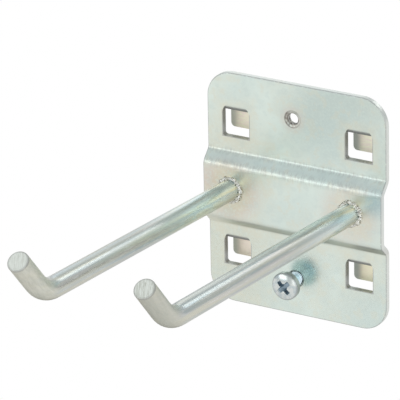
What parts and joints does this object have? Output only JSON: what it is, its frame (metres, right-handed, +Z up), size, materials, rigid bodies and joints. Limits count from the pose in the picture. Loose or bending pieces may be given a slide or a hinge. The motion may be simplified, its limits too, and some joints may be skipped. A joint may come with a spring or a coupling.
{
  "type": "pegboard hook",
  "caption": "Zinc-plated double hook for a square-hole tool panel: stamped plate with lugs, welded pegs with upturned ends and a locking screw.",
  "frame": {"origin": "centre of the four-lug pattern, on the back plane of the plate where the panel's front face lies", "axes": "+X to the right of someone facing the hook, +Y into the panel, +Z up; the pegs point along -Y"},
  "size_m": [0.0553, 0.1195, 0.0677],
  "materials": {
    "zinc_plate": "bright zinc plating with a faint blue and yellow passivation sheen",
    "zinc_rod": "drawn rod, glossy zinc plating with lengthwise streaks",
    "weld_bead": "rough plated weld",
    "screw_plating": "bright zinc plating"
  },
  "bodies": {
    "hook": {"back_plate": "zinc_plate", "left_peg": "zinc_rod", "right_peg": "zinc_rod", "left_weld": "weld_bead", "right_weld": "weld_bead"},
    "screw": {"locking_screw": "screw_plating"}
  },
  "joints": [
    {"name": "locking_screw_travel", "type": "slide", "parent": "hook", "child": "screw", "axis": [0, 1, 0], "range_m": [-0.001, 0.0043]}
  ]
}
